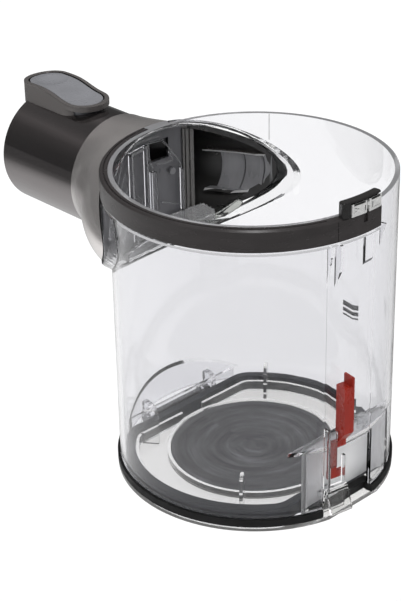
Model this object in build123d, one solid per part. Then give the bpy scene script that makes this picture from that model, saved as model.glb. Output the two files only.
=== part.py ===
from build123d import *

import os
from math import atan, cos, degrees, pi, radians, sin

# Clear cyclone dust bin: cylinder with a side inlet, hinged base, release slider and wired wand socket.
# Frame: +Z up, origin on the cylinder's axis at the underside of the closed base.
# The inlet points along -X, the release slider is on the +X side.

# ---------------------------------------------------------------- cylinder
R_OUT = 58.0          # outer radius of the clear wall
WALL = 2.0
R_IN = R_OUT - WALL
Z_WALL = 5.5          # lower edge of the wall
Z_RIM = 134.9         # upper edge of the wall
R_PAD = 58.457        # raised runner face, set off towards +Y so that one edge stands higher
PAD_Y = 1.08
PAD_A0, PAD_A1 = -16.5, 7.6

# ---------------------------------------------------------------- inlet
Z_AXIS = 106.7        # height of the inlet axis
R_TUBE = 25.5         # outer radius of the inlet tube
X_END = -132.2        # outer end of the inlet tube
X_STEP = -84.0        # step between tube and flared saddle
R_BORE = 18.5         # wand socket
R_LINER = 20.5        # outside of the socket liner
R_BORE_IN = 17.6      # narrower bore behind the socket's stop
X_STOP = -106.6       # stop shoulder in the socket
HOLE_A, HOLE_B = 50.0, 27.0      # half axes of the opening in the wall
LIP_A, LIP_B = 53.0, 28.1        # half axes of the clear lip round it
R_LIP = 61.4
R_ROOT = 62.05        # radius where the saddle starts
SADDLE_T = 2.3
SADDLE_X1 = -24.0     # inner end of the saddle's form, inside the cylinder
SADDLE_A1 = 54.2      # half width there
SADDLE_B1 = 28.2      # half height there

# ---------------------------------------------------------------- button
BOSS_W = 21.2
BOSS_X0, BOSS_X1, RIM_X1 = -139.4, -97.0, -92.9   # outer end, inner end at the tube, inner end of the rim
RIM_T = 2.4
WELL_X, WELL_SEP, WELL_W = -116.2, 24.6, 17.8
BTN_X, BTN_SEP, BTN_W = -116.15, 23.9, 16.6
# side profile of the boss's top, along X
TOP_CURVE = ((-152, 136.6), (-141, 137.5), (-134, 138.2), (-128, 138.6), (-122, 138.65), (-117.5, 138.3), (-113, 137.4), (-108.5, 136.35), (-104, 135.75), (-98, 135.5), (-90, 135.4), (-80, 135.4))
PIVOT_X, PIVOT_Z = -114.0, 132.6
PIVOT_R = 1.0
CATCH_X0, CATCH_X1 = -104.5, -101.5
BTN_SPRING_X = -124.4

# ---------------------------------------------------------------- wire cover
COVER_R0, COVER_R1 = 58.1, 61.45
COVER_Z0, COVER_Z1 = 126.2, 135.2
COVER_A0, COVER_A1 = 184.0, 366.9
BLOCK_A0, BLOCK_A1 = -12.6, 6.2
SEAM_A = -14.2
BLOCK_R = 61.9
BLOCK_Z = 141.6
WIRE_R = 0.6
WIRE_ARC_R = 59.2
WIRE_END_A = 212.0

# ---------------------------------------------------------------- base
R_LID = 59.0
LID_FRONT = 57.2      # flat on the latch side
LID_T = 2.0
HINGE_X, HINGE_Z = -49.9, 5.4
HINGE_R = 2.9
HINGE_PIN_R = 1.5
LID_BACK = -48.0      # the plate ends here, beside the hinge
CHORD_M, CHORD_P = -44.4, 47.6   # inner faces of the two straight walls
CHORD_T = 1.8
LEDGE_Z = 34.5        # top of the latch recess
HOOD_Z0, HOOD_Z1 = 12.0, 21.0    # sloping hood over the hinge, at the straight wall and at the cylinder
WINDOW_A0, WINDOW_A1 = -17.0, 10.2
SEAL_R, SEAL_W, SEAL_Z = 55.6, 4.0, 8.6
DISC_R, DISC_Z = 36.3, 4.6
FIN_A = (38.5, 128.5, 218.5, 308.5)
FIN_R0, FIN_R1 = 42.0, 50.4
FIN_Z = (18.6, 18.6, 18.6, 19.3)
LATCH_A0, LATCH_A1 = -15.2, -5.2

# ---------------------------------------------------------------- slider
SLIDE_A = -9.0        # direction of the slider's block
SLIDE_Y0, SLIDE_Y1 = -3.2, 1.5
SLIDE_R0, SLIDE_R1 = 58.9, 64.4
SLIDE_Z = 63.2
SPRING_Y = -0.85
STEM_A0, STEM_A1 = -15.1, -12.2
STEM_R1 = 60.4
STEM_Z0 = 20.6


# ================================================================ helpers
def pol(r, a):
    return (r * cos(radians(a)), r * sin(radians(a)))


def sector(r0, r1, a0, a1, z0, z1):
    """Ring sector between two radii, two angles and two heights."""
    am = (a0 + a1) / 2
    edges = [
        ThreePointArc(pol(r1, a0), pol(r1, am), pol(r1, a1)),
        Line(pol(r1, a1), pol(r0, a1)),
        ThreePointArc(pol(r0, a1), pol(r0, am), pol(r0, a0)),
        Line(pol(r0, a0), pol(r1, a0)),
    ]
    return Pos(0, 0, z0) * extrude(make_face(edges), z1 - z0)


def tube_z(r0, r1, z0, z1):
    return Pos(0, 0, z0) * extrude(Circle(r1) - Circle(r0), z1 - z0)


def disc_z(r, z0, z1):
    return Pos(0, 0, z0) * extrude(Circle(r), z1 - z0)


def box(x0, x1, y0, y1, z0, z1):
    return Pos((x0 + x1) / 2, (y0 + y1) / 2, (z0 + z1) / 2) * Box(x1 - x0, y1 - y0, z1 - z0)


def cyl_x(r, x0, x1, y=0.0, z=Z_AXIS):
    return Pos((x0 + x1) / 2, y, z) * Rot(0, 90, 0) * Cylinder(r, x1 - x0)


def cyl_y(r, y0, y1, x, z):
    return Pos(x, (y0 + y1) / 2, z) * Rot(90, 0, 0) * Cylinder(r, y1 - y0)


def eye(a, b, x0=-75.0, x1=-5.0):
    """Elliptical prism along X, on the inlet axis."""
    return extrude(Plane((x0, 0, Z_AXIS), x_dir=(0, 1, 0), z_dir=(1, 0, 0)) * Ellipse(a, b), x1 - x0)


def saddle_form(shrink):
    """Smooth flared solid through the saddle's sections, each drawn in by shrink."""
    faces = []
    r0 = R_TUBE + 0.6
    for i in range(11):
        t = i / 10
        x = X_STEP + t * (SADDLE_X1 - X_STEP)
        a = r0 + (SADDLE_A1 - r0) * sin(pi / 2 * t ** 0.74) ** 2 + 0.002
        u = min(1.0, max(0.0, (x + 82.0) / 40.0))
        b = r0 + (SADDLE_B1 - r0) * u * u * (3 - 2 * u)
        pl = Plane((x, 0, Z_AXIS), x_dir=(0, 1, 0), z_dir=(1, 0, 0))
        faces.append(pl * Ellipse(a - shrink, b - shrink))
    return loft(faces)


def slot_prism(x, sep, w, z0, z1):
    return Pos(x, 0, z0) * extrude(SlotCenterToCenter(sep, w), z1 - z0)


def above_curve(drop):
    """Everything above the curved top of the boss, lowered by drop."""
    pts = [(x, z - drop) for x, z in TOP_CURVE]
    edges = [Spline(*pts), Line(pts[-1], (pts[-1][0], 175)), Line((pts[-1][0], 175), (pts[0][0], 175)), Line((pts[0][0], 175), pts[0])]
    face = Plane((0, 0, 0), x_dir=(1, 0, 0), z_dir=(0, -1, 0)) * make_face(edges)
    return extrude(face, 30, both=True)


def d_face(r, xm, xp, rad):
    """Circle cut by two straight sides, its corners rounded."""
    f = Circle(r) & (Pos((xm + xp) / 2, 0) * Rectangle(xp - xm, 4 * r))
    return fillet(f.vertices(), rad) if rad else f


def d_prism(r, xm, xp, rad, z0, z1):
    return Pos(0, 0, z0) * extrude(d_face(r, xm, xp, rad), z1 - z0)


def radial_plate(a, t, pts):
    """Plate of thickness t standing in the radial plane at angle a; pts are (radius, height)."""
    pl = Plane((0, 0, 0), x_dir=(cos(radians(a)), sin(radians(a)), 0), z_dir=(sin(radians(a)), -cos(radians(a)), 0))
    face = make_face(Polyline(*pts, close=True))
    return extrude(pl * face, t / 2, both=True)


def coil(x, y, z0, z1, r, wire, turns):
    """Round-wire compression spring standing along Z."""
    h = z1 - z0 - 2 * wire
    path = Helix(h / turns, h, r)
    prof = Plane(path @ 0, z_dir=path % 0) * Circle(wire)
    return Pos(x, y, z0 + wire) * sweep(prof, path=path)


# ================================================================ wires
def wire_solid(z, run, dy, z_end, start, r):
    """Round wire: along the rim, straight through the lip, then down to the socket contacts."""
    a = radians(WIRE_END_A)
    p0 = Vector(WIRE_ARC_R * cos(a), WIRE_ARC_R * sin(a), z)
    p1 = p0 + Vector(sin(a), -cos(a), 0) * run
    pts = [p0, p1, Vector(-67.0, -18.4 - dy, z - 11.5), Vector(-70.5, -18.8 - dy, z_end), Vector(-76.95, -18.8 - dy, z_end)]
    arc = CenterArc((0, 0, z), WIRE_ARC_R, WIRE_END_A, 360 + start - WIRE_END_A)
    rest = FilletPolyline(*pts, radius=2.8)
    s1 = sweep(Plane(arc @ 0, z_dir=arc % 0) * Circle(r), path=arc)
    s2 = sweep(Plane(rest @ 0, z_dir=rest % 0) * Circle(r), path=rest)
    return s1 + s2


# height on the rim, straight run, sideways shift, height at the socket, start angle
WIRES = ((129.05, 20.4, 0.0, 109.2, -6.0), (127.65, 17.4, 2.9, 104.4, 2.4))
tunnels = [wire_solid(*w, WIRE_R + 0.35) for w in WIRES]
wire_a, wire_b = (wire_solid(*w, WIRE_R) for w in WIRES)

# ================================================================ bin shell
shell = tube_z(R_IN, R_OUT, Z_WALL, Z_RIM)
shell += sector(R_OUT - 0.5, 60, PAD_A0, PAD_A1, LEDGE_Z - 1.8, COVER_Z0 - 1.8) & (Pos(0, PAD_Y, 0) * disc_z(R_PAD, 0, 150))
# clear ledge that carries the wire cover
shell += sector(R_OUT - 0.5, 61.2, COVER_A0 + 6, COVER_A1, COVER_Z0 - 1.7, COVER_Z0 - 0.05)
# thick clear lip round the inlet opening
lip = sector(R_IN, R_LIP, 105, 255, 70, Z_RIM) & eye(LIP_A, LIP_B)
shell += lip
shell -= eye(HOLE_A, HOLE_B)
# clear sill along the bottom of the opening, and upright ribs across it
shell += sector(R_IN + 0.6, 59.6, 146, 206, 78.5, 86.0) & eye(HOLE_A + 0.5, HOLE_B + 0.5)
for a0, a1, z0, z1 in ((195.2, 196.2, 84.0, 132.0), (185.3, 186.2, 80.0, 128.4), (182.0, 183.0, 80.0, 115.0), (180.4, 181.2, 80.0, 114.8), (166.2, 167.3, 80.0, 112.6)):
    shell += sector(57.4, 59.3, a0, a1, z0, z1) & eye(HOLE_A + 0.5, HOLE_B + 0.5)
shell += sector(57.4, 59.3, 185.3, 196.2, 126.9, 128.0)
# latch recess: straight wall, ceiling, and the window in the outer wall
def recess_form(grow, z0, z1):
    """Rounded pocket behind the window, grown outwards by grow."""
    f = Pos((CHORD_P + CHORD_T - grow + 80) / 2, 1.0) * RectangleRounded(80 - CHORD_P - CHORD_T + grow, 51.0 + 2 * grow, 6.0 + grow)
    return Pos(0, 0, z0) * extrude(f, z1 - z0)


shell += (recess_form(CHORD_T, Z_WALL, LEDGE_Z) - recess_form(0.0, 0, 60)) & disc_z(R_IN + 0.6, 0, 60)
shell += box(CHORD_P, 60, -32, 32, LEDGE_Z - 1.8, LEDGE_Z) & disc_z(R_IN + 0.6, 0, 60)
shell -= sector(R_IN - 0.4, R_OUT + 2, WINDOW_A0, WINDOW_A1, Z_WALL - 1, LEDGE_Z - 1.8) - box(0, CHORD_P + CHORD_T, -60, 60, 0, 60)
# catch block for the latch tab
shell += box(CHORD_P + CHORD_T - 0.2, 53.4, -14.0, -6.5, 8.0, 10.4)
# hinge pocket: low straight wall, sloping hood and lugs
hood = [(CHORD_M, Z_WALL), (CHORD_M - CHORD_T, Z_WALL), (CHORD_M - CHORD_T, HOOD_Z0 - 0.6), (-58.0, HOOD_Z1 - 0.6), (-58.0, HOOD_Z1 + 1.6), (CHORD_M, HOOD_Z0)]
hood_face = Plane((0, 0, 0), x_dir=(1, 0, 0), z_dir=(0, -1, 0)) * make_face(Polyline(*hood, close=True))
shell += extrude(hood_face, 40, both=True) & disc_z(R_IN + 0.6, 0, 60)
for s in (1, -1):
    ya, yb = sorted((s * 17.4, s * 20.2))
    shell += cyl_y(HINGE_R, ya, yb, HINGE_X, HINGE_Z) + box(HINGE_X - 1.6, CHORD_M - CHORD_T + 0.3, ya, yb, HINGE_Z, 12.6)
shell -= cyl_y(HINGE_PIN_R + 0.02, -20.0, 20.0, HINGE_X, HINGE_Z)
# gussets and pad below the connector
top = COVER_Z0 - 1.5
shell += radial_plate(-16.4, 1.0, [(57.4, 105.8), (58.05, 105.8), (58.9, 112.7), (61.1, 120.2), (61.4, top), (57.4, top)])
shell += radial_plate(-12.9, 1.2, [(57.4, 105.6), (58.1, 105.6), (59.4, 109.5), (61.5, 113.4), (62.3, 116.9), (62.4, 121.5), (62.3, top), (57.4, top)])
shell += radial_plate(2.7, 4.9, [(57.4, 110.3), (58.0, 110.5), (59.6, 113.1), (59.6, top), (57.4, top)])
shell += radial_plate(11.8, 0.8, [(57.4, 115.0), (58.0, 115.0), (59.4, 121.2), (60.6, top), (57.4, top)])
# peg for the slider's return spring
shell += Rot(0, 0, SLIDE_A) * box(R_OUT, 61.2, SPRING_Y - 1.1, SPRING_Y + 1.1, 46.0, 48.0)
for t in tunnels:
    shell -= t

# ================================================================ inlet
outer = saddle_form(0.0)
inner = saddle_form(SADDLE_T)
core = disc_z(R_ROOT, 60, 150)
nozzle = outer - inner - core
# raised panel between two rails on the saddle's inside, facing the port
low, mid, high = (saddle_form(SADDLE_T + d) for d in (0.8, 1.7, 2.8))
for x0, x1 in ((-58.0, -49.4), (-48.8, -41.3), (-40.7, -24.0)):
    nozzle += ((outer - low) & box(x0, x1, 14, 60, 96.0, 113.0)) - core
nozzle += ((outer - mid) & box(-64.0, -24.0, 14, 60, 112.7, 113.4)) - core
nozzle += ((outer - high) & box(-61.0, -24.0, 14, 60, 95.4, 96.4)) - core
liner_room = saddle_form(SADDLE_T + 0.15)

sleeve = cyl_x(R_TUBE, X_END, X_STEP)
sleeve = fillet(sleeve.edges().filter_by(GeomType.CIRCLE).sort_by(Axis.X)[0], 1.2)
sleeve += cyl_x(23.65, X_STEP - 0.5, X_STEP + 3.2)
def slot_between(x0, x1, w, z0, z1):
    return slot_prism((x0 + x1) / 2, x1 - x0 - w, w, z0, z1)


boss = slot_between(BOSS_X0, BOSS_X1, BOSS_W, 118.0, 146.0) - above_curve(0.0)
boss -= box(-150, X_END + 0.4, -20, 20, 100, 128.6)
boss += (slot_between(BOSS_X0, RIM_X1, BOSS_W, 130.0, 146.0) - above_curve(0.0)) & above_curve(RIM_T)
sleeve += boss
sleeve -= cyl_x(23.2, X_END - 10, X_STEP + 0.01) - box(-150, X_END, -20, 20, 128.5, 160)
sleeve -= cyl_x(21.8, X_STEP - 1, X_STEP + 10)
sleeve -= slot_prism(WELL_X, WELL_SEP, WELL_W, 127.0, 150.0) - box(-150, X_END + 0.3, -20, 20, 120, 129.9)
sleeve -= cyl_y(PIVOT_R + 0.02, -10.0, 10.0, PIVOT_X, PIVOT_Z)

duct = cyl_x(R_LINER, -131.4, X_STEP) + cyl_x(23.1, -131.4, -129.6)
defl = Polyline((-85.6, -11.4), (-60.6, 18.9), (-59.0, 17.7), (-84.0, -12.6), close=True)
defl_solid = Pos(0, 0, 78) * extrude(make_face(defl), 58)
spigot_room = cyl_x(24.5, X_STEP - 1, X_STEP + 3.4) - cyl_x(21.7, X_STEP - 2, X_STEP + 5)
duct += (defl_solid & (liner_room + cyl_x(R_LINER, -86.5, X_STEP + 0.5))) - spigot_room
port = eye(HOLE_A - 0.25, HOLE_B - 0.25)
duct += sector(60.0, 61.9, 163.0, 229.0, 78, 136) & port
# window in the blanking wall
duct -= sector(59.0, 62.0, 172.0, 182.8, 118.4, 127.6)
duct += sector(59.0, 62.6, 160.6, 165.6, 78, 136) & port & liner_room
duct -= sector(58.0, 59.8, 162.2, 163.0, 78, 136)
duct -= sector(58.0, 59.8, 164.2, 164.8, 78, 136)
duct -= sector(58.0, 59.65, 158.0, 170.0, 70, 86.6)
pip = Rot(0, 0, 170.9) * Pos(59.4, 0, 112.0) * Rot(0, 90, 0) * Cylinder(1.5, 1.6)
duct += pip
duct += Pos(BTN_SPRING_X, 0, 126.5) * Cylinder(2.6, 3.0, align=(Align.CENTER, Align.CENTER, Align.MIN)) & box(-150, -80, -10, 10, 120, 128.0)
duct -= cyl_x(R_BORE, -140, X_STOP)
duct -= cyl_x(R_BORE_IN, -110, X_STEP + 0.01) - defl_solid
duct -= cyl_x(19.6, -127.5, -125.5)
duct -= box(X_STOP + 0.1, -99.4, -4.0, 4.0, 118, 130)
duct -= box(-133, -129.0, -10.6, 10.6, 127.4, 135)
for t in tunnels:
    duct -= t

saddle_seal = (sector(61.45, 62.0, 105, 255, 70, 135.0) & eye(LIP_A - 0.4, LIP_B - 0.3)) - eye(HOLE_A + 0.5, HOLE_B + 0.2)
for t in tunnels:
    saddle_seal -= t
socket_seal = cyl_x(19.55, -127.45, -125.55) - cyl_x(R_BORE + 0.1, -130, -120)

contact_carrier = (box(X_STEP + 0.1, -77.0, -24.6, -12.8, 100.5, 112.6) & liner_room) - spigot_room
pins = [cyl_x(0.8, -91.5, -79.0, y=-15.4, z=z) for z in (104.2, 109.2)]
for p in pins:
    contact_carrier -= p
contact_carrier -= defl_solid
contact_carrier = contact_carrier.solids().sort_by(SortBy.VOLUME)[-1]

# ================================================================ button
btn = slot_prism(BTN_X, BTN_SEP, BTN_W, 130.4, 146.0) - above_curve(0.3)
btn -= Pos(-126.5, 0, 138.3 - 1.2 + 24.0) * Sphere(24.0)
btn -= Pos(-116.5, 0, 130.4) * Rot(0, 7.6, 0) * Pos(-20, 0, -10) * Box(40, 40, 20)
btn += box(CATCH_X0, CATCH_X1, -3.0, 3.0, 124.2, 131.0)
btn -= cyl_y(PIVOT_R + 0.06, -12, 12, PIVOT_X, PIVOT_Z)
btn -= Pos(BTN_SPRING_X, 0, 130.0) * Cylinder(2.9, 2.9, align=(Align.CENTER, Align.CENTER, Align.MIN))
button_pin = cyl_y(PIVOT_R, -9.9, 9.9, PIVOT_X, PIVOT_Z)
button_spring = coil(BTN_SPRING_X, 0, 128.05, 132.85, 1.9, 0.3, 4)

# ================================================================ wire cover and connector
cover = sector(COVER_R0, COVER_R1, COVER_A0, COVER_A1, COVER_Z0, COVER_Z1)
top_outer = [e for e in cover.edges().filter_by(GeomType.CIRCLE) if e.center().Z > COVER_Z1 - 0.1 and e.radius > 60]
cover = chamfer(top_outer, 0.7)
cover -= sector(59.3, 59.9, COVER_A0 - 1, 342.0, COVER_Z1 - 0.6, COVER_Z1 + 1)
cover -= eye(LIP_A + 0.2, LIP_B + 0.2)
cover -= sector(58.0, 60.3, 200.0, 364.5, 126.85, 130.5)
for a in (-6.0, 2.4):
    x, y = pol(WIRE_ARC_R, a)
    cover -= Pos(x, y, 133) * Cylinder(0.65, 8)
cover = cover.solids().sort_by(SortBy.VOLUME)[-1]

block = sector(COVER_R0, BLOCK_R, BLOCK_A0, BLOCK_A1, COVER_Z1 + 0.05, BLOCK_Z)
vert = [e for e in block.edges().filter_by(Axis.Z)]
block = fillet(vert, 1.2)
block = fillet(block.faces().sort_by(Axis.Z)[-1].edges(), 0.8)
block -= sector(60.3, 64, -9.4, 9.0, COVER_Z1 - 0.5, 140.75)
CONTACTS = ((-8.9, -2.1, -6.0), (-0.8, 5.7, 2.4))
terminals = []
for a0, a1, at in CONTACTS:
    block -= sector(58.6, 62, at - 1.2, at + 1.2, COVER_Z1 - 0.5, 136.1)
    tx, ty = pol(WIRE_ARC_R, at)
    term = sector(61.6, 62.1, a0, a1, 135.1, 140.1)
    term += sector(60.4, 62.1, a0, a0 + 0.5, 135.9, 139.7)
    term += sector(60.4, 62.1, a1 - 0.5, a1, 135.9, 139.7)
    term += sector(60.4, 61.8, a0 + 0.8, a1 - 0.8, 135.5, 136.0)
    term += sector(62.0, 62.45, a0 + 0.9, a1 - 0.9, 136.2, 139.2)
    term += sector(58.7, 61.7, at - 1.0, at + 1.0, 135.5, 136.0)
    term += Pos(tx, ty, 132.9) * Cylinder(0.55, 5.8)
    terminals.append(term)
cover -= sector(60.5, 63, -2.8, -0.8, 130.9, COVER_Z1 + 1)
# split line beside the connector
cover -= sector(61.2, 63, SEAM_A - 0.12, SEAM_A + 0.12, COVER_Z0 - 1, COVER_Z1 + 1)

# ================================================================ base lid
lid = disc_z(R_LID, 0, LID_T) & box(LID_BACK, LID_FRONT, -70, 70, -1, 60)
rib = d_prism(SEAL_R - SEAL_W - 0.25, CHORD_M + 4.65, CHORD_P - 4.65, 8.0, LID_T - 0.1, 6.6)
rib -= d_prism(SEAL_R - SEAL_W - 1.55, CHORD_M + 5.95, CHORD_P - 5.95, 7.0, 0, 20)
rib -= box(-60, -30, -6.5, 5.5, 3.0, 20)
lid += rib
lid += tube_z(DISC_R + 0.15, DISC_R + 1.5, LID_T - 0.1, DISC_Z + 0.3)
for a, z1 in zip(FIN_A, FIN_Z):
    n = 6
    r0, r1, q = FIN_R0, FIN_R1 - 0.2, 3.4
    pts = [(r0, 1.0), (r1, 1.0), (r1, 6.0), (r1 - 0.8, z1 - q)]
    pts += [(r1 - 0.8 - q + q * cos(radians(90 * i / n)), z1 - q + q * sin(radians(90 * i / n))) for i in range(1, n + 1)]
    pts += [(r0 + q - q * sin(radians(90 * i / n)), z1 - q + q * cos(radians(90 * i / n))) for i in range(1, n + 1)]
    lid += radial_plate(a, 1.4, pts)
for s in (1, -1):
    ya, yb = sorted((s * 13.8, s * 17.1))
    lid += cyl_y(HINGE_R, ya, yb, HINGE_X, HINGE_Z)
    arm = [(HINGE_X, HINGE_Z - 2.8), (HINGE_X, HINGE_Z), (HINGE_X + 3.4, HINGE_Z), (HINGE_X + 3.4, 1.0), (HINGE_X + 2.1, 1.0)]
    arm_face = Plane((0, (ya + yb) / 2, 0), x_dir=(1, 0, 0), z_dir=(0, -1, 0)) * make_face(Polyline(*arm, close=True))
    lid += extrude(arm_face, (yb - ya) / 2, both=True)
lid -= cyl_y(HINGE_PIN_R + 0.06, -22, 22, HINGE_X, HINGE_Z)
tab_a = (LATCH_A0 + LATCH_A1) / 2
tab_t = 2 * 59.0 * sin(radians((LATCH_A1 - LATCH_A0) / 2))
tab_pts = [(54.5, 0.6), (56.6, 13.2), (57.3, 14.1), (58.0, 14.0), (58.6, 13.2), (62.0, 4.8), (61.9, 3.6), (60.9, 3.4), (57.7, 11.4), (57.3, 11.4), (55.7, 0.6)]
lid += radial_plate(tab_a, tab_t, tab_pts)

seal = d_prism(SEAL_R, CHORD_M + 0.4, CHORD_P - 0.4, 11.0, LID_T, SEAL_Z)
seal = fillet(seal.faces().sort_by(Axis.Z)[-1].edges(), 0.8)
seal -= d_prism(SEAL_R - SEAL_W, CHORD_M + 4.4, CHORD_P - 4.4, 8.0, 0, 30)
gasket = tube_z(55.9, R_LID + 0.1, LID_T, Z_WALL - 0.3) & box(-46.3, 70, -70, 70, -1, 60)
gasket -= sector(50, 63, WINDOW_A0, WINDOW_A1, 0, 20)
gasket += box(50.3, 53.7, -17.2, 11.6, LID_T, Z_WALL - 0.3)
gasket += (box(50.3, 56.0, -20, -15.2, LID_T, Z_WALL - 0.3) + box(50.3, 56.0, 9.6, 14, LID_T, Z_WALL - 0.3)) & (disc_z(56.2, 0, 20) - box(53.7, 60, -15.9, 10.2, 0, 20))
gasket += box(-46.3, -44.2, -34.0, 34.0, LID_T, Z_WALL - 0.3)
gasket -= sector(53.9, 63, LATCH_A0 - 0.8, LATCH_A1 + 0.8, 0, 20)
disc = disc_z(DISC_R, LID_T, DISC_Z)
disc = fillet(disc.edges().filter_by(GeomType.CIRCLE).sort_by(Axis.Z)[-1], 0.7)
hinge_pin = cyl_y(HINGE_PIN_R, -19.9, 19.9, HINGE_X, HINGE_Z)

# ================================================================ release slider
bar = box(SLIDE_R0, SLIDE_R1, SLIDE_Y0, SLIDE_Y1, 30.0, SLIDE_Z)
bar += box(SLIDE_R0, SLIDE_R1, SLIDE_Y1 - 0.95, SLIDE_Y1, SLIDE_Z - 1, 67.1)
under = Plane((0, 0, 0), x_dir=(1, 0, 0), z_dir=(0, -1, 0)) * make_face(Polyline((SLIDE_R0 - 1, 34.1), (SLIDE_R1 + 1, 43.7), (SLIDE_R1 + 1, 20), (SLIDE_R0 - 1, 20), close=True))
bar -= extrude(under, 20, both=True)
bar = Rot(0, 0, SLIDE_A) * bar
stem = sector(SLIDE_R0, STEM_R1, STEM_A0, STEM_A1, STEM_Z0, 38.2)
stem += sector(SLIDE_R0, STEM_R1, STEM_A0, -8.0, 34.6, 38.2)
stem += sector(SLIDE_R0, STEM_R1, STEM_A0 - 0.2, -8.6, STEM_Z0, STEM_Z0 + 3.2)
slider = bar + stem
slider -= Rot(0, 0, SLIDE_A) * box(SLIDE_R0 - 1, 61.7, SPRING_Y - 1.45, SPRING_Y + 1.45, 44.4, 60.4)
slider_spring = Rot(0, 0, SLIDE_A) * coil(60.1, SPRING_Y, 48.05, 60.3, 0.95, 0.22, 9)

guide = sector(58.2, 62.0, -16.9, -15.8, 15.4, 43.8)
cap = sector(60.8, 62.0, -16.9, -13.1, 27.0, 43.8)
guide += fillet(cap.edges().filter_by(lambda e: abs(e.center().Z - 43.8) < 0.01 and e.length < 1.5).sort_by(Axis.Y)[-1:], 1.1)
guide += sector(60.8, 62.0, -16.9, -9.3, 16.4, 18.6)
guide += sector(60.8, 62.0, -10.4, -9.3, 16.4, 31.2)

# ================================================================ output
NODES = {
    "bin_shell": shell,
    "inlet_nozzle": nozzle,
    "nozzle_sleeve": sleeve,
    "inlet_duct": duct,
    "saddle_seal": saddle_seal,
    "socket_seal": socket_seal,
    "wand_button": btn,
    "button_pin": button_pin,
    "button_spring": button_spring,
    "socket_contact_block": contact_carrier,
    "socket_contact_pins": Compound(children=[Solid(p.solids()[0].wrapped) for p in pins]),
    "wire_cover": cover,
    "contact_block": block,
    "contact_terminal_a": terminals[0],
    "contact_terminal_b": terminals[1],
    "wire_a": wire_a,
    "wire_b": wire_b,
    "base_lid": lid,
    "lid_seal": seal,
    "lid_gasket": gasket,
    "lid_disc": disc,
    "hinge_pin": hinge_pin,
    "release_slider": slider,
    "slider_spring": slider_spring,
    "slider_guide": guide,
}

os.makedirs("parts", exist_ok=True)
for name, shape in NODES.items():
    solids = shape.solids()
    print(name, len(solids), round(sum(s.volume for s in solids), 1))
    export_step(shape if len(solids) > 1 else solids[0], f"parts/{name}.step")
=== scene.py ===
import math

import bmesh
import bpy
from mathutils import Matrix, Vector


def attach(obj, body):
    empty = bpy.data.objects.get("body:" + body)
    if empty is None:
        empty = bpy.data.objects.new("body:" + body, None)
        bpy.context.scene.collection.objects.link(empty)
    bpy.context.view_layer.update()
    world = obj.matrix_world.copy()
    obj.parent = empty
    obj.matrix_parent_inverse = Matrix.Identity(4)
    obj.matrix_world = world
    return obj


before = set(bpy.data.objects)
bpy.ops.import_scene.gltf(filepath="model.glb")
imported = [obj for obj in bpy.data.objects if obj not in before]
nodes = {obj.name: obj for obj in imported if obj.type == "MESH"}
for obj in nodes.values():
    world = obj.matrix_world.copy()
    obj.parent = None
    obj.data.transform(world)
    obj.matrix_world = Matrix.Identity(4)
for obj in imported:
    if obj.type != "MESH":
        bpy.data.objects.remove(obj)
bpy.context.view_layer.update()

sc = bpy.context.scene
MM = 0.001


# ---------------------------------------------------------------- materials
def new_mat(name):
    m = bpy.data.materials.new(name)
    m.use_nodes = True
    nt = m.node_tree
    nt.nodes.clear()
    out = nt.nodes.new("ShaderNodeOutputMaterial")
    b = nt.nodes.new("ShaderNodeBsdfPrincipled")
    nt.links.new(b.outputs[0], out.inputs[0])
    return m, nt, b


def coords(nt, stretch=(1, 1, 1)):
    tc = nt.nodes.new("ShaderNodeTexCoord")
    mp = nt.nodes.new("ShaderNodeMapping")
    mp.inputs["Scale"].default_value = stretch
    nt.links.new(tc.outputs["Object"], mp.inputs["Vector"])
    return mp.outputs[0]


def noise(nt, vec, scale, detail=4.0, rough=0.55):
    n = nt.nodes.new("ShaderNodeTexNoise")
    n.inputs["Scale"].default_value = scale
    n.inputs["Detail"].default_value = detail
    n.inputs["Roughness"].default_value = rough
    nt.links.new(vec, n.inputs["Vector"])
    return n.outputs["Fac"]


def ramp(nt, fac, stops):
    r = nt.nodes.new("ShaderNodeValToRGB")
    el = r.color_ramp.elements
    el[0].position, el[0].color = stops[0][0], (*stops[0][1], 1)
    el[1].position, el[1].color = stops[-1][0], (*stops[-1][1], 1)
    for p, c in stops[1:-1]:
        e = el.new(p)
        e.color = (*c, 1)
    nt.links.new(fac, r.inputs[0])
    return r.outputs[0]


def remap(nt, fac, lo, hi, a=0.3, b=0.7):
    r = nt.nodes.new("ShaderNodeMapRange")
    r.inputs["From Min"].default_value = a
    r.inputs["From Max"].default_value = b
    r.inputs["To Min"].default_value = lo
    r.inputs["To Max"].default_value = hi
    nt.links.new(fac, r.inputs["Value"])
    return r.outputs[0]


def bump(nt, b, height, strength, distance=0.0005):
    n = nt.nodes.new("ShaderNodeBump")
    n.inputs["Strength"].default_value = strength
    n.inputs["Distance"].default_value = distance
    nt.links.new(height, n.inputs["Height"])
    nt.links.new(n.outputs[0], b.inputs["Normal"])
    return n


def scaled(c, k):
    return tuple(min(1.0, x * k) for x in c)


def moulded(name, c, v=0.12, rough=(0.3, 0.42), scale=70, stretch=(1, 1, 1), grain=1400, grain_h=0.12, coat=0.0, spec=0.5, metallic=0.0):
    """Moulded plastic or rubber: faint flow marks in colour and gloss, fine surface grain."""
    m, nt, b = new_mat(name)
    vec = coords(nt, stretch)
    n1 = noise(nt, vec, scale)
    nt.links.new(ramp(nt, n1, ((0.3, scaled(c, 1 - v)), (0.7, scaled(c, 1 + v)))), b.inputs["Base Color"])
    n2 = noise(nt, vec, scale * 2.3)
    nt.links.new(remap(nt, n2, *rough), b.inputs["Roughness"])
    g = noise(nt, coords(nt), grain, 2.0)
    bump(nt, b, g, grain_h, 0.0002)
    b.inputs["Specular IOR Level"].default_value = spec
    b.inputs["Coat Weight"].default_value = coat
    b.inputs["Coat Roughness"].default_value = 0.12
    b.inputs["Metallic"].default_value = metallic
    return m


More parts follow.
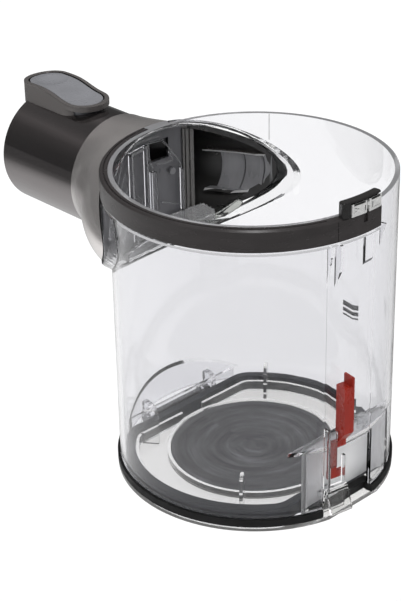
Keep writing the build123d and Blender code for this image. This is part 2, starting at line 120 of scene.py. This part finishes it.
def clear(name, tint, rough=(0.012, 0.035), wave=0.03, wave_scale=45, through=1.0, detail=1.0):
    """Clear moulded plastic with a little waviness and faint haze."""
    m, nt, b = new_mat(name)
    vec = coords(nt)
    n1 = noise(nt, vec, 30, 3.0)
    nt.links.new(ramp(nt, n1, ((0.25, scaled(tint, 0.985)), (0.75, tint))), b.inputs["Base Color"])
    n2 = noise(nt, vec, 160, 4.0)
    nt.links.new(remap(nt, n2, *rough), b.inputs["Roughness"])
    n3 = noise(nt, vec, wave_scale, detail)
    bump(nt, b, n3, wave, 0.0008)
    b.inputs["Transmission Weight"].default_value = through
    b.inputs["IOR"].default_value = 1.46
    b.inputs["Specular IOR Level"].default_value = 0.4
    return m


def turned(name, c, rough, marks, mottle):
    """Rubber sheet with faint turned rings and scuffs round the axis."""
    m, nt, b = new_mat(name)
    tc = nt.nodes.new("ShaderNodeTexCoord")
    sep = nt.nodes.new("ShaderNodeSeparateXYZ")
    nt.links.new(tc.outputs["Object"], sep.inputs[0])
    flat = nt.nodes.new("ShaderNodeCombineXYZ")
    nt.links.new(sep.outputs[0], flat.inputs[0])
    nt.links.new(sep.outputs[1], flat.inputs[1])
    ln = nt.nodes.new("ShaderNodeVectorMath")
    ln.operation = "LENGTH"
    nt.links.new(flat.outputs[0], ln.inputs[0])
    an = nt.nodes.new("ShaderNodeMath")
    an.operation = "ARCTAN2"
    nt.links.new(sep.outputs[1], an.inputs[0])
    nt.links.new(sep.outputs[0], an.inputs[1])
    half = nt.nodes.new("ShaderNodeMath")
    half.operation = "MULTIPLY"
    half.inputs[1].default_value = 0.0016
    nt.links.new(an.outputs[0], half.inputs[0])
    polar = nt.nodes.new("ShaderNodeCombineXYZ")
    nt.links.new(ln.outputs["Value"], polar.inputs[0])
    nt.links.new(half.outputs[0], polar.inputs[1])
    rings = noise(nt, polar.outputs[0], 240, 5.0, 0.75)
    cloud = noise(nt, tc.outputs["Object"], 55, 5.0, 0.62)
    mix = nt.nodes.new("ShaderNodeMix")
    mix.inputs[0].default_value = 0.3
    nt.links.new(rings, mix.inputs[2])
    nt.links.new(cloud, mix.inputs[3])
    col = ramp(nt, mix.outputs[0], ((0.36, scaled(c, 1 - mottle)), (0.5, c), (0.58, scaled(c, 1 + 0.8 * mottle)), (0.68, scaled(c, 1 + 2.4 * mottle))))
    nt.links.new(col, b.inputs["Base Color"])
    nt.links.new(remap(nt, mix.outputs[0], *rough), b.inputs["Roughness"])
    bump(nt, b, rings, marks, 0.0001)
    b.inputs["Specular IOR Level"].default_value = 0.35
    return m


M = {}
M["clear_shell"] = clear("clear shell", (0.872, 0.872, 0.888))
M["clear_wavy"] = clear("clear rippled", (0.93, 0.935, 0.94), (0.03, 0.12), 0.55, 190, 1.0, 3.0)
# mostly opaque near-white on the latch recess walls: painted light, lifting them out of their shade
M["recess"] = clear("clear recess with painted light", (0.96, 0.963, 0.97), (0.08, 0.2), 0.05, 60, 0.15)
M["frost"] = clear("clear frosted", (0.9, 0.905, 0.91), (0.06, 0.2), 1.0, 360, 0.82, 4.0)
M["clear_dark"] = clear("clear shaded", (0.42, 0.43, 0.41), (0.02, 0.06), 0.2, 140)
M["clear_lid"] = clear("clear base", (0.93, 0.93, 0.925), (0.02, 0.07), 0.05, 80)
# slightly warm clear plate with a share of white diffuse: painted light, lifting the plate above the shade under it
M["plate_painted_light"] = clear("base plate with painted light", (0.975, 0.97, 0.955), (0.03, 0.08), 0.03, 60, 0.85)
M["clear_guide"] = clear("clear guide", (0.93, 0.935, 0.94), (0.02, 0.06), 0.05, 120)
M["nozzle"] = moulded("dark pearl saddle", (0.80, 0.766, 0.75), 0.08, (0.14, 0.22), 40, (0.3, 1, 1), 1600, 0.02, 0.0, 0.5, 0.83)
M["sleeve"] = moulded("dark pearl sleeve", (0.25, 0.234, 0.234), 0.14, (0.04, 0.085), 40, (0.15, 1, 1), 1600, 0.015, 0.0, 0.5, 0.97)
M["boss"] = moulded("dark pearl boss", (0.24, 0.225, 0.22), 0.1, (0.14, 0.22), 60, (0.3, 1, 1), 1600, 0.02, 0.0, 0.5, 0.65)
# near-black for the inner faces of the pearl nozzle mouldings: painted shade in the bore
M["inside"] = moulded("inside painted shade", (0.014, 0.0135, 0.013), 0.15, (0.25, 0.4), 60)
M["duct"] = moulded("dark satin duct", (0.012, 0.012, 0.0125), 0.15, (0.3, 0.45), 60)
M["blank"] = moulded("grey blanking wall", (0.085, 0.085, 0.092), 0.3, (0.25, 0.4), 60, (1, 1, 0.5))
M["post"] = moulded("warm grey post", (0.10, 0.096, 0.092), 0.12, (0.25, 0.35), 60, (1, 1, 0.2))
M["panel"] = moulded("grey panel", (0.21, 0.21, 0.22), 0.25, (0.22, 0.34), 110, (1, 1, 0.1))
# pale grey for the rails' front faces only: painted highlight along their edges
M["rail"] = moulded("rail edge painted highlight", (0.5, 0.5, 0.5), 0.2, (0.25, 0.35), 110)
M["cover"] = moulded("dark satin band", (0.040, 0.036, 0.036), 0.14, (0.2, 0.3), 60, (1, 1, 3), 1500, 0.05)
M["button"] = moulded("cool grey", (0.225, 0.228, 0.245), 0.08, (0.24, 0.34), 90, (1, 1, 1), 1500, 0.06)
M["black"] = moulded("black moulding", (0.008, 0.008, 0.008), 0.2, (0.4, 0.55), 90)
M["connector"] = moulded("black gloss connector", (0.022, 0.021, 0.021), 0.2, (0.1, 0.18), 90, (1, 1, 1), 1500, 0.03, 0.4)
M["rubber"] = moulded("black rubber", (0.011, 0.011, 0.0115), 0.25, (0.45, 0.65), 120, (1, 1, 1), 1800, 0.15, 0.0, 0.25)
M["slate"] = moulded("slate rubber", (0.036, 0.039, 0.048), 0.2, (0.35, 0.5), 90, (1, 1, 1), 1800, 0.1, 0.0, 0.3)
M["red"] = moulded("red moulding", (0.32, 0.022, 0.012), 0.12, (0.24, 0.34), 140, (1, 1, 0.4), 1500, 0.04)
M["wire_red"] = moulded("red wire", (0.16, 0.012, 0.01), 0.1, (0.4, 0.5), 200)
M["wire_black"] = moulded("black wire", (0.008, 0.008, 0.008), 0.1, (0.4, 0.5), 200)
M["contact"] = moulded("bright contact", (0.84, 0.84, 0.83), 0.12, (0.16, 0.3), 500, (1, 1, 6), 900, 0.25, 0.0, 0.5, 0.35)
M["steel"] = moulded("dark steel", (0.22, 0.22, 0.22), 0.1, (0.22, 0.36), 300, (1, 6, 1), 2500, 0.06, 0.0, 0.5, 1.0)
M["disc"] = turned("disc rubber", (0.112, 0.113, 0.118), (0.36, 0.5), 0.14, 0.62)
M["print"] = moulded("grey print", (0.15, 0.15, 0.157), 0.15, (0.4, 0.5), 200)
# grey, part-opaque top face of the rim: painted shade standing in for the look of the clear edge
M["rim_edge_shade"] = clear("clear rim edge painted shade", (0.36, 0.36, 0.37), (0.1, 0.25), 0.05, 120, 0.4)
M["seam"] = clear("weld seam", (0.45, 0.45, 0.46), (0.1, 0.2), 0.1, 300, 0.7)


def paint_shade_along_x(m, x0, x1, k):
    """Darken a material's colour towards x0: painted shade."""
    nt = m.node_tree
    b = next(q for q in nt.nodes if q.type == "BSDF_PRINCIPLED")
    src = b.inputs["Base Color"].links[0].from_socket
    tc = nt.nodes.new("ShaderNodeTexCoord")
    sep = nt.nodes.new("ShaderNodeSeparateXYZ")
    nt.links.new(tc.outputs["Object"], sep.inputs[0])
    sca = nt.nodes.new("ShaderNodeVectorMath")
    sca.operation = "SCALE"
    nt.links.new(src, sca.inputs[0])
    nt.links.new(remap(nt, sep.outputs[0], k, 1.0, x0, x1), sca.inputs["Scale"])
    nt.links.new(sca.outputs[0], b.inputs["Base Color"])


# painted shade on the saddle's colour, darker towards its junction with the sleeve
paint_shade_along_x(M["nozzle"], -0.085, -0.068, 0.74)

SLOTS = {
    "bin_shell": "clear_shell",
    "inlet_nozzle": "nozzle",
    "nozzle_sleeve": "sleeve",
    "inlet_duct": "duct",
    "saddle_seal": "rubber",
    "socket_seal": "rubber",
    "wand_button": "button",
    "button_pin": "steel",
    "button_spring": "steel",
    "socket_contact_block": "black",
    "socket_contact_pins": "contact",
    "wire_cover": "cover",
    "contact_block": "connector",
    "contact_terminal_a": "contact",
    "contact_terminal_b": "contact",
    "wire_a": "wire_red",
    "wire_b": "wire_black",
    "base_lid": "clear_lid",
    "lid_seal": "slate",
    "lid_gasket": "rubber",
    "lid_disc": "disc",
    "hinge_pin": "steel",
    "release_slider": "red",
    "slider_spring": "steel",
    "slider_guide": "clear_guide",
}
for n, o in nodes.items():
    o.data.materials.clear()
    o.data.materials.append(M[SLOTS[n]])


def second_material(node, key, test):
    """Give the faces of a node that pass the test a second material."""
    o = nodes[node]
    o.data.materials.append(M[key])
    k = len(o.data.materials) - 1
    for p in o.data.polygons:
        c = o.matrix_world @ p.center
        x, y, z = c.x / MM, c.y / MM, c.z / MM
        if test(x, y, z, p.normal):
            p.material_index = k


def polar(x, y):
    return math.hypot(x, y), math.degrees(math.atan2(y, x)) % 360


def on_hole(x, y, z):
    return x < -20 and abs((y / 50.0) ** 2 + ((z - 106.7) / 27.0) ** 2 - 1) < 0.05


def saddle_depth(x, y, z):
    """How far a point lies inside the saddle's outer form."""
    t = min(1.0, max(0.0, (x + 84.0) / 60.0))
    a = 26.1 + 28.1 * math.sin(math.pi / 2 * t ** 0.74) ** 2
    u = min(1.0, max(0.0, (x + 82.0) / 40.0))
    b = 26.1 + 2.1 * u * u * (3 - 2 * u)
    lo, hi = -2.0, 15.0
    for _ in range(24):
        m = (lo + hi) / 2
        if (y / (a - m)) ** 2 + ((z - 106.7) / (b - m)) ** 2 < 1:
            lo = m
        else:
            hi = m
    return lo


def faces_in(y, z, n):
    return y * n.y + (z - 106.7) * n.z < -0.05


# the plate's faces get the part-white painted light
second_material("base_lid", "plate_painted_light", lambda x, y, z, n: z < 2.2 and (abs(n.z) > 0.9 or math.hypot(x, y) > 57.0))
second_material("bin_shell", "clear_wavy", lambda x, y, z, n: on_hole(x, y, z) or (x < -44 and 78 < z < 87 and 56.4 < math.hypot(x, y) < 59.8))
# the latch recess walls get the near-white painted light
second_material("bin_shell", "recess", lambda x, y, z, n: 47.0 < x < 57.0 and 6 < z < 32.6 and math.hypot(x, y) < 55.8 and abs(n.z) < 0.5 and -26 < y < 24)
# the rim's top faces get the grey painted shade
second_material("bin_shell", "rim_edge_shade", lambda x, y, z, n: z > 134.4 and n.z > 0.7 and math.hypot(x, y) > 55.5)
second_material("nozzle_sleeve", "boss", lambda x, y, z, n: abs(y) < 10.75 and z > 120 and math.hypot(y, z - 106.7) > 25.7)
# the sleeve's well walls round the button get black: painted shade in the gap
second_material("nozzle_sleeve", "black", lambda x, y, z, n: z > 127 and math.hypot(max(abs(x + 116.2) - 12.3, 0), y) < 8.97)
# the bore and the inward faces of the pearl mouldings get the near-black painted shade
second_material("nozzle_sleeve", "inside", lambda x, y, z, n: math.hypot(y, z - 106.7) < 24.4)
second_material("inlet_nozzle", "inside", lambda x, y, z, n: faces_in(y, z, n))
second_material("inlet_nozzle", "panel", lambda x, y, z, n: -75 < x < -22 and y > 13 and 96.3 < z < 112.8 and saddle_depth(x, y, z) > 2.5)
# only the rails' front faces take the pale grey: painted highlight
second_material("inlet_nozzle", "rail", lambda x, y, z, n: -75 < x < -22 and y > 13 and (95.3 < z < 96.45 or 112.65 < z < 113.45) and abs(n.z) < 0.6 and saddle_depth(x, y, z) > 2.5)
second_material("inlet_duct", "blank", lambda x, y, z, n: x < -30 and 163 < polar(x, y)[1] < 230 and 59.4 < polar(x, y)[0] < 61.0)
# the pip's faces take the lighter panel grey as a painted glint
second_material("inlet_duct", "panel", lambda x, y, z, n: x < -30 and 169.3 < polar(x, y)[1] < 172.5 and 110.2 < z < 113.8 and polar(x, y)[0] < 59.42)
second_material("inlet_duct", "post",lambda x, y, z, n: x < -52 and 160.3 < polar(x, y)[1] < 165.8 and 58.8 < polar(x, y)[0] < 62.8)


# ---------------------------------------------------------------- small added pieces
def cyl_point(r, a, z):
    return Vector((r * math.cos(math.radians(a)), r * math.sin(math.radians(a)), z))


def spline(pts, n=6):
    """Smooth path through the points."""
    out = []
    for i in range(len(pts) - 1):
        p0, p1, p2, p3 = pts[max(i - 1, 0)], pts[i], pts[i + 1], pts[min(i + 2, len(pts) - 1)]
        for k in range(n):
            t = k / n
            out.append(0.5 * (2 * p1 + (p2 - p0) * t + (2 * p0 - 5 * p1 + 4 * p2 - p3) * t * t + (3 * p1 - p0 - 3 * p2 + p3) * t ** 3))
    out.append(pts[-1])
    return out


def tube(path, radius, sides=10, flat=1.0, up=None):
    """Closed rod along a path, with domed ends; flat squeezes it along the up direction."""
    tang = []
    for i in range(len(path)):
        tang.append((path[min(i + 1, len(path) - 1)] - path[max(i - 1, 0)]).normalized())
    rings = []
    stations = [(0, -math.sin(math.radians(b)), math.cos(math.radians(b))) for b in (60, 30)]
    stations += [(i, 0.0, 1.0) for i in range(len(path))]
    stations += [(len(path) - 1, math.sin(math.radians(b)), math.cos(math.radians(b))) for b in (30, 60)]
    side = None
    for i, off, k in stations:
        t = tang[i]
        if side is None:
            side = t.orthogonal().normalized()
        if up is not None:
            nrm = (up(path[i]) - t * up(path[i]).dot(t)).normalized()
            side = t.cross(nrm).normalized()
        else:
            side = (side - t * side.dot(t)).normalized()
            nrm = side.cross(t).normalized()
        c = path[i] + t * (off * radius)
        rings.append([c + (side * math.cos(2 * math.pi * j / sides) + nrm * (flat * math.sin(2 * math.pi * j / sides))) * (radius * k) for j in range(sides)])
    verts = [v for ring in rings for v in ring]
    faces = []
    for i in range(len(rings) - 1):
        for j in range(sides):
            a, b = i * sides + j, i * sides + (j + 1) % sides
            faces.append((a, b, b + sides, a + sides))
    verts += [path[0] - tang[0] * radius, path[-1] + tang[-1] * radius]
    n = len(verts)
    last = (len(rings) - 1) * sides
    for j in range(sides):
        faces.append((j, n - 2, (j + 1) % sides))
        faces.append((last + j, last + (j + 1) % sides, n - 1))
    return verts, faces


def slab(r0, r1, a0, a1, z0, z1, n=10, lump=0.0, top=None):
    """Closed curved plate between two radii; top(a) gives its upper edge and lump makes its upper face uneven."""
    m = 5
    verts, faces = [], []
    for i in range(n + 1):
        a = a0 + (a1 - a0) * i / n
        zt = top(a) if top else z1
        for r, zz in [(r0, z0)] + [(r0 + (r1 - r0) * k / m, zt + lump * (math.sin(9.1 * i + 2.3 * k) + math.sin(5.7 * k - 3.3 * i)) * (0.5 if 0 < k < m else 0.2)) for k in range(m + 1)] + [(r1, z0)]:
            verts.append(cyl_point(r, a, zz))
    w = m + 3
    for i in range(n):
        for k in range(w):
            faces.append((i * w + k, i * w + (k + 1) % w, (i + 1) * w + (k + 1) % w, (i + 1) * w + k))
    faces.append(tuple(range(w - 1, -1, -1)))
    faces.append(tuple(range(n * w, n * w + w)))
    return verts, faces


def sheet(a0, a1, n, low, high, thick, lump):
    """Closed uneven sheet rising from low to high, both given as (radius, height) by angle."""
    m = 9
    verts, faces = [], []
    for side in (0.0, -thick):
        for i in range(n + 1):
            a = a0 + (a1 - a0) * i / n
            (r0, z0), (r1, z1) = low(a), high(a)
            for k in range(m + 1):
                t = k / m
                w = lump * (math.sin(2.9 * i + 2.3 * k) + math.sin(3.1 * k - 1.7 * i) + math.sin(0.9 * i * k)) / 2
                verts.append(cyl_point(r0 + (r1 - r0) * t, a, z0 + (z1 - z0) * t + side + w))
    w = m + 1
    half = (n + 1) * w
    for i in range(n):
        for k in range(m):
            q = i * w + k
            faces.append((q, q + 1, q + w + 1, q + w))
            faces.append((half + q, half + q + w, half + q + w + 1, half + q + 1))
    edge = [k for k in range(w)] + [i * w + m for i in range(1, n + 1)] + [n * w + k for k in range(m - 1, -1, -1)] + [i * w for i in range(n - 1, 0, -1)]
    for i in range(len(edge)):
        a, b = edge[i], edge[(i + 1) % len(edge)]
        faces.append((a, half + a, half + b, b))
    return verts, faces


def join(shapes):
    verts, faces = [], []
    for v, f in shapes:
        k = len(verts)
        verts += v
        faces += [tuple(i + k for i in q) for q in f]
    return verts, faces


def piece(name, shape, key, body="bin"):
    verts, faces = shape
    mesh = bpy.data.meshes.new(name)
    mesh.from_pydata([v * MM for v in verts], [], faces)
    bm = bmesh.new()
    bm.from_mesh(mesh)
    bmesh.ops.recalc_face_normals(bm, faces=bm.faces)
    bm.to_mesh(mesh)
    bm.free()
    for q in mesh.polygons:
        q.use_smooth = len(q.vertices) < 6
    mesh.materials.append(M[key])
    o = bpy.data.objects.new(name, mesh)
    sc.collection.objects.link(o)
    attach(o, body)
    return o


def radial(p):
    return Vector((p.x, p.y, 0)).normalized()


# moulded edge lines of the inlet's clear inner frame, as (angle, height)
LINES = (
    ((183.7, 128.9), (183.7, 122.8), (182.6, 118.2), (181.4, 116.2)),
    ((179.5, 117.4), (175.6, 117.2), (171.8, 117.1), (171.1, 118.5), (173.0, 121.4)),
    ((182.9, 128.5), (179.1, 128.1), (175.7, 127.8)),
    ((175.7, 126.9), (173.0, 124.0), (170.8, 120.1), (169.9, 119.5), (167.8, 116.0), (166.9, 112.4)),
    ((177.2, 99.1), (167.9, 95.8)),
    ((194.1, 130.2), (189.4, 130.6), (184.4, 130.4), (178.0, 130.2)),
    ((201.0, 127.5), (207.0, 118.0), (214.0, 108.5), (220.0, 102.0)),
    ((199.5, 121.0), (206.0, 112.0), (213.0, 103.0), (218.0, 98.0)),
    ((198.5, 113.0), (204.0, 105.5), (211.0, 98.0)),
    ((198.0, 104.0), (203.0, 97.0), (208.0, 92.0)),
)
piece("inlet_frame_lines", join([tube(spline([cyl_point(58.5, a, z) for a, z in line]), 0.4) for line in LINES]), "clear_guide")
finger = spline([cyl_point(58.7, a, z) for a, z in ((157.0, 83.9), (151.5, 86.0), (146.0, 88.8), (141.4, 91.9))])
piece("inlet_sill_finger", tube(finger, 1.9, 16, 0.4, radial), "clear_dark")
swirl = [cyl_point(59.4, 190.8 + 3.1 * math.sin(1.9 * t) + 0.8 * math.sin(4.3 * t), 86.0 + 1.25 * t + 2.4 * math.cos(2.6 * t)) for t in [0.35 * i for i in range(50)]]
piece("inlet_frame_swirl", tube(spline(swirl, 3), 0.26, 8), "clear_guide")
piece("inlet_sill_texture", join([
    sheet(152.0, 178.0, 62, lambda a: (57.3, 86.2), lambda a: (58.5, 91.6 + 0.11 * (178.0 - a) - 0.9 * max(0.0, 157.0 - a)), 0.9, 0.5),
]), "frost")


TOP = ((-152, 136.6), (-141, 137.5), (-134, 138.2), (-128, 138.6), (-122, 138.65), (-117.5, 138.3), (-113, 137.4), (-108.5, 136.35), (-104, 135.75), (-98, 135.5), (-90, 135.4), (-80, 135.4))


def boss_top(x):
    """Height of the boss's curved top."""
    for i in range(1, len(TOP) - 2):
        if TOP[i][0] <= x <= TOP[i + 1][0]:
            (xa, za), (x0, z0), (x1, z1), (xb, zb) = TOP[i - 1:i + 3]
            t, h = (x - x0) / (x1 - x0), x1 - x0
            m0, m1 = (z1 - za) / (x1 - xa) * h, (zb - z0) / (xb - x0) * h
            return z0 + m0 * t + (3 * (z1 - z0) - 2 * m0 - m1) * t * t + (2 * (z0 - z1) + m0 + m1) * t ** 3
    return TOP[-1][1]


def bead(x0, x1, half, drop, radius):
    """Round bead along the edge of the boss's rim."""
    ring = []
    for i in range(96):
        q = 2 * math.pi * i / 96
        cx = (x1 - half) if math.cos(q) >= 0 else (x0 + half)
        x, y = cx + half * math.cos(q), half * math.sin(q)
        ring.append(Vector((x, y, boss_top(x) - drop)))
    dense = []
    for i in range(96):
        a, b = ring[i], ring[(i + 1) % 96]
        k = max(1, int((b - a).length / 1.2))
        for j in range(k):
            v = a + (b - a) * (j / k)
            dense.append(Vector((v.x, v.y, boss_top(v.x) - drop)))
    n, sides = len(dense), 10
    verts, faces = [], []
    for i in range(n):
        t = (dense[(i + 1) % n] - dense[i - 1]).normalized()
        side = Vector((0, 0, 1)).cross(t).normalized()
        up = t.cross(side).normalized()
        verts += [dense[i] + (side * math.cos(2 * math.pi * j / sides) + up * math.sin(2 * math.pi * j / sides)) * radius for j in range(sides)]
    for i in range(n):
        for j in range(sides):
            a, b = i * sides + j, i * sides + (j + 1) % sides
            c, d = ((i + 1) % n) * sides + (j + 1) % sides, ((i + 1) % n) * sides + j
            faces.append((a, b, c, d))
    return verts, faces


piece("boss_rim_beads", join([bead(-138.96, -93.3, 10.3, 0.3, 0.42), bead(-137.5, -94.95, 9.25, 0.3, 0.33)]), "boss")


def ledge_path(k):
    """Crumpled strand on the ledge beside the slider."""
    out = []
    for i in range(40):
        t = i / 39
        c = Vector((49.6 + 6.0 * t, 13.2 - 7.6 * t, 35.4 + 0.6 * math.sin(23 * t + k)))
        c += Vector((0.795, 0.606, 0)) * (2.3 * math.sin(27 * t + 1.7 * k)) + Vector((0.606, -0.795, 0)) * (1.1 * math.cos(31 * t + k))
        f = min(1.0, 55.3 / math.hypot(c.x, c.y))
        out.append(Vector((max(c.x * f, 48.3), c.y * f, c.z)))
    return out


piece("ledge_strands", join([tube(spline(ledge_path(k), 3), 0.32, 8) for k in (0, 2)]), "clear_guide")
# dark slabs on the spring contacts: the black block showing in the top gaps, and painted shade in the folds on their
# faces
FOLD_SHADE_SLABS = ((-8.1, -2.9, 139.5, 140.16, 61.9, 62.16), (0.2, 4.9, 139.5, 140.16, 61.9, 62.16), (-8.0, -7.2, 138.5, 138.75, 62.3, 62.5), (-7.0, -6.2, 138.1, 138.35, 62.3, 62.5), (-7.9, -7.3, 137.2, 137.45, 62.3, 62.5), (-3.4, -3.1, 136.6, 138.7, 62.3, 62.5), (0.3, 0.6, 136.6, 138.9, 62.3, 62.5), (1.2, 4.3, 136.5, 136.65, 62.3, 62.5))
piece("contact_fold_shade", join([slab(r0, r1, a0, a1, z0, z1, 6) for a0, a1, z0, z1, r0, r1 in FOLD_SHADE_SLABS]), "black")
piece("contact_divider", slab(61.75, 62.25, -1.95, -0.95, 137.9, 139.2, 4), "contact")
BARS = ((52.4, 54.7, 76.5, 88.1), (49.6, 51.3, 76.8, 88.1), (47.75, 48.45, 77.2, 88.0))
piece("fill_level_bars", join([slab(55.8, 55.97, a0, a1, z0, z1, 12) for z0, z1, a0, a1 in BARS]), "print")
piece("wall_weld_seam", slab(55.85, 55.98, 127.9, 128.15, 122.9, 134.7, 2), "seam")

# ---------------------------------------------------------------- floor, light, camera
me = bpy.data.meshes.new("floor")
bm = bmesh.new()
bmesh.ops.create_grid(bm, x_segments=8, y_segments=8, size=120.0)
bm.to_mesh(me)
bm.free()
floor = bpy.data.objects.new("floor", me)
floor.location = (0, 0, -0.118)  # low enough to show the base when it hangs open
sc.collection.objects.link(floor)
fm = moulded("pale floor", (0.42, 0.42, 0.42), 0.01, (0.6, 0.7), 3)
glow = next(q for q in fm.node_tree.nodes if q.type == "BSDF_PRINCIPLED")
glow.inputs["Emission Color"].default_value = (1, 1, 1, 1)
glow.inputs["Emission Strength"].default_value = 0.62
floor.data.materials.append(fm)

w = bpy.data.worlds.new("studio")
sc.world = w
w.use_nodes = True
wt = w.node_tree
bg = wt.nodes["Background"]
wc = wt.nodes.new("ShaderNodeTexCoord")
ws = wt.nodes.new("ShaderNodeSeparateXYZ")
wt.links.new(wc.outputs["Generated"], ws.inputs[0])
sky = ramp(wt, ws.outputs[2], ((0.0, (0.16, 0.16, 0.165)), (0.3, (0.22, 0.22, 0.225)), (0.62, (0.95, 0.95, 0.955)), (1.0, (1.0, 1.0, 1.0))))
wt.links.new(sky, bg.inputs[0])
bg.inputs[1].default_value = 1.25


def area(name, loc, target, size, power, color=(1, 1, 1)):
    d = bpy.data.lights.new(name, "AREA")
    d.shape = "RECTANGLE"
    d.size, d.size_y = size
    d.energy = power
    d.color = color
    o = bpy.data.objects.new(name, d)
    o.location = loc
    o.rotation_mode = "QUATERNION"
    o.rotation_quaternion = (Vector(target) - Vector(loc)).to_track_quat("-Z", "Y")
    sc.collection.objects.link(o)
    return o


for lamp in (area("key", (-0.5, -1.1, 1.7), (0, 0, 0.08), (1.0, 1.0), 5), area("fill", (0.9, 0.5, 1.5), (0, 0, 0.08), (0.9, 0.9), 3)):
    lamp.visible_glossy = False


def reflected(name, mesh, stops, source):
    """Stage surface that shows only in reflections."""
    m = bpy.data.materials.new(name)
    m.use_nodes = True
    nt = m.node_tree
    nt.nodes.clear()
    out = nt.nodes.new("ShaderNodeOutputMaterial")
    em = nt.nodes.new("ShaderNodeEmission")
    nt.links.new(em.outputs[0], out.inputs[0])
    nt.links.new(ramp(nt, source(nt), stops), em.inputs[0])
    mesh.materials.append(m)
    o = bpy.data.objects.new(name, mesh)
    sc.collection.objects.link(o)
    o.visible_camera = False
    o.visible_diffuse = False
    o.visible_transmission = False
    o.visible_shadow = False
    return o


def by_height(nt):
    tc = nt.nodes.new("ShaderNodeTexCoord")
    sep = nt.nodes.new("ShaderNodeSeparateXYZ")
    nt.links.new(tc.outputs["Object"], sep.inputs[0])
    return remap(nt, sep.outputs[2], 0.0, 1.0, 0.0, 3.0)


def by_distance(nt):
    tc = nt.nodes.new("ShaderNodeTexCoord")
    d = nt.nodes.new("ShaderNodeVectorMath")
    d.operation = "DISTANCE"
    d.inputs[1].default_value = (-0.16, -0.10, 0)
    nt.links.new(tc.outputs["Object"], d.inputs[0])
    return remap(nt, d.outputs["Value"], 0.0, 1.0, 0.0, 0.4)


me = bpy.data.meshes.new("room")
bm = bmesh.new()
bmesh.ops.create_uvsphere(bm, u_segments=48, v_segments=32, radius=3.0)
bmesh.ops.delete(bm, geom=[v for v in bm.verts if v.co.z < -0.01], context="VERTS")
bm.to_mesh(me)
bm.free()
reflected("room", me, ((0.0, (0.07, 0.07, 0.07)), (0.3, (0.075, 0.074, 0.074)), (0.5, (0.11, 0.105, 0.105)), (0.62, (0.22, 0.21, 0.21)), (0.7, (0.12, 0.118, 0.118)), (0.8, (0.22, 0.21, 0.215)), (0.88, (0.1, 0.1, 0.1)), (1.0, (0.1, 0.1, 0.1))), by_height)

me = bpy.data.meshes.new("table")
bm = bmesh.new()
bmesh.ops.create_grid(bm, x_segments=8, y_segments=8, size=3.0)
bm.to_mesh(me)
bm.free()
table = reflected("table", me, ((0.0, (1.0, 1.0, 1.0)), (0.25, (0.8, 0.8, 0.8)), (0.6, (0.25, 0.25, 0.25)), (1.0, (0.14, 0.14, 0.14))), by_distance)
table.location = (0, 0, -0.0002)


def constant(nt):
    v = nt.nodes.new("ShaderNodeValue")
    v.outputs[0].default_value = 0.5
    return v.outputs[0]


me = bpy.data.meshes.new("lamp")
bm = bmesh.new()
bmesh.ops.create_circle(bm, cap_ends=True, segments=48, radius=0.16)
bm.to_mesh(me)
bm.free()
lamp = reflected("lamp", me, ((0.0, (1.0, 1.0, 1.0)), (1.0, (1.0, 1.0, 1.0))), constant)
next(q for q in lamp.active_material.node_tree.nodes if q.type == "EMISSION").inputs[1].default_value = 7.0
lamp.location = (0.43, -0.43, 1.12)
lamp.rotation_mode = "QUATERNION"
lamp.rotation_quaternion = (Vector((0, 0, 0.1)) - Vector(lamp.location)).to_track_quat("-Z", "Y")

cam_d = bpy.data.cameras.new("photo camera")
cam = bpy.data.objects.new("photo camera", cam_d)
sc.collection.objects.link(cam)
r = Vector((0.689119, 0.724418, -0.018544))
u = Vector((-0.326086, 0.332847, 0.884815))
z = r.cross(u)
cam.matrix_world = Matrix(((r.x, u.x, z.x, 0.450466), (r.y, u.y, z.y, -0.450466), (r.z, u.z, z.z, 0.409688), (0, 0, 0, 1)))
cam_d.sensor_width = 36.0
cam_d.lens = 104.27
cam_d.clip_start = 0.01
cam_d.clip_end = 500
sc.camera = cam
sc.view_settings.view_transform = "Standard"
sc.cycles.max_bounces = 20
sc.cycles.transmission_bounces = 20
sc.cycles.transparent_max_bounces = 20
sc.cycles.glossy_bounces = 8
